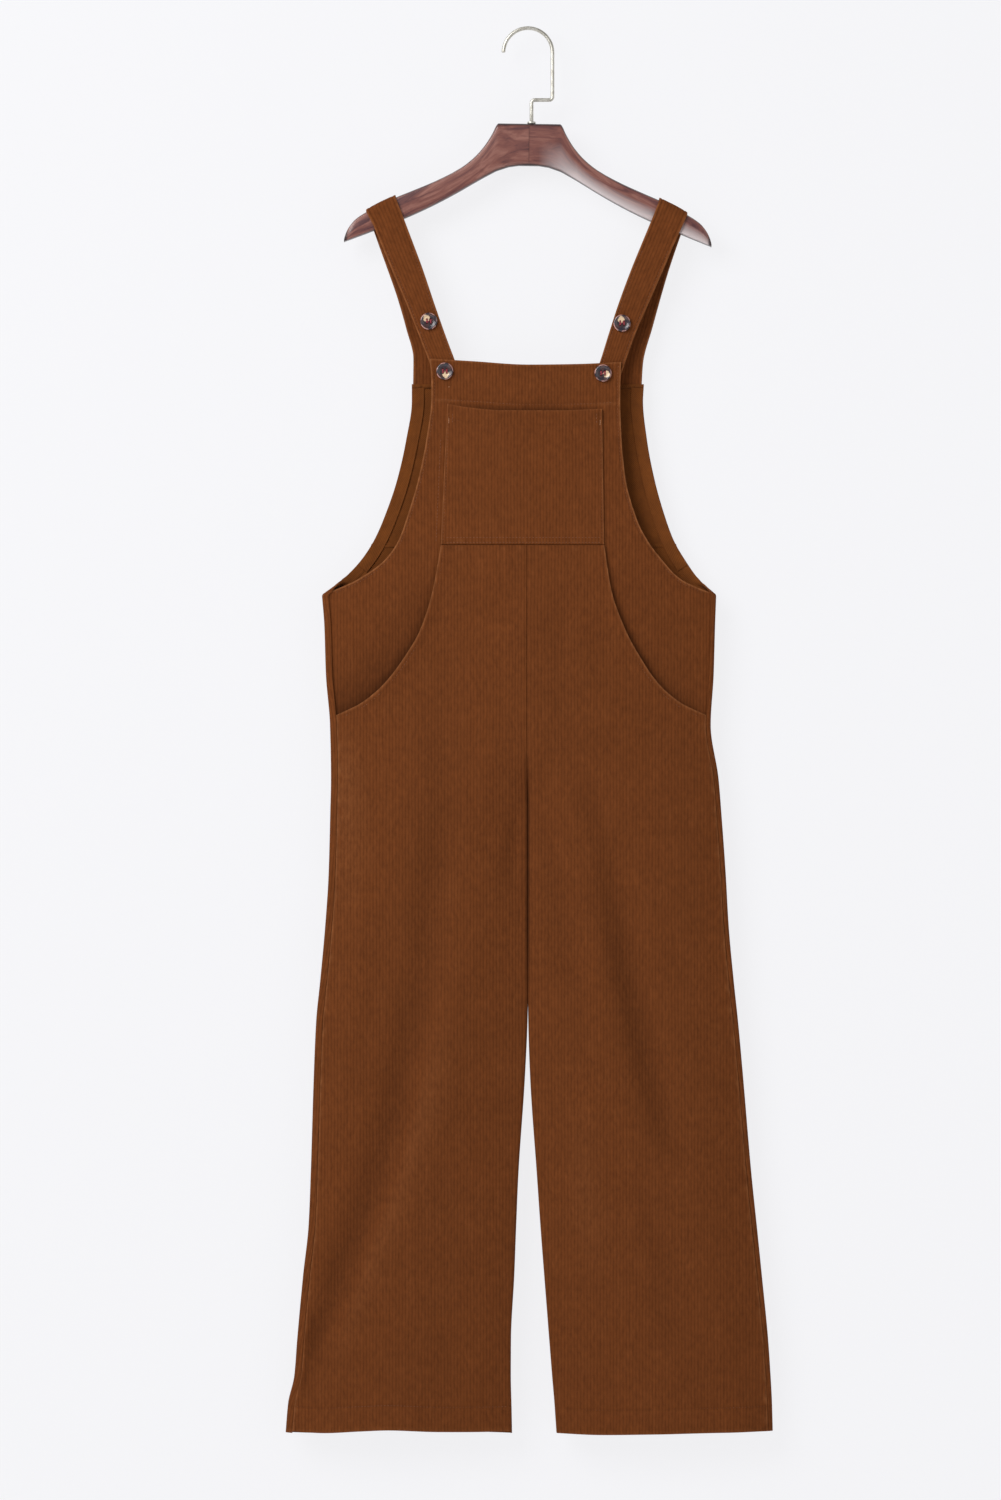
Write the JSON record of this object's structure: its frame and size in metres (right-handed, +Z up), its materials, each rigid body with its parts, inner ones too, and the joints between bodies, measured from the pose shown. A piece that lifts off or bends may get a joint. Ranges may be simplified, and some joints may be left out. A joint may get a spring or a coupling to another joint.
{
  "type": "bib overalls on a hanger",
  "caption": "Corduroy bib overalls hung flat on a wooden hanger, with buttoned straps, a patch pocket on the bib, curved side pockets and wide straight legs.",
  "frame": {"origin": "the inside top of the hanger hook's curve, where a rail carries the hanger", "axes": "+Z up; the garment's front faces -Y; +X is the viewer's right when the front is seen"},
  "size_m": [0.509, 0.0453, 1.4749],
  "materials": {
    "corduroy": "fine-wale brushed corduroy, rust brown",
    "rosewood": "stained and lacquered",
    "nickel_wire": "satin nickel plated wire",
    "tortoiseshell": "glossy mottled resin"
  },
  "bodies": {
    "root": {"hanger_hook": "nickel_wire", "hook_collar": "nickel_wire", "hanger_wood": "rosewood", "bib_front": "corduroy", "bib_pocket": "corduroy", "front_hip_left": "corduroy", "front_hip_right": "corduroy", "front_leg_left": "corduroy", "front_leg_right": "corduroy", "back_bodice_left": "corduroy", "back_bodice_right": "corduroy", "back_hip_left": "corduroy", "back_hip_right": "corduroy", "back_leg_left": "corduroy", "back_leg_right": "corduroy", "back_facing_left": "corduroy", "back_facing_right": "corduroy", "strap_left": "corduroy", "strap_right": "corduroy", "button_strap_left": "tortoiseshell", "button_strap_right": "tortoiseshell", "button_bib_left": "tortoiseshell", "button_bib_right": "tortoiseshell"}
  },
  "joints": []
}
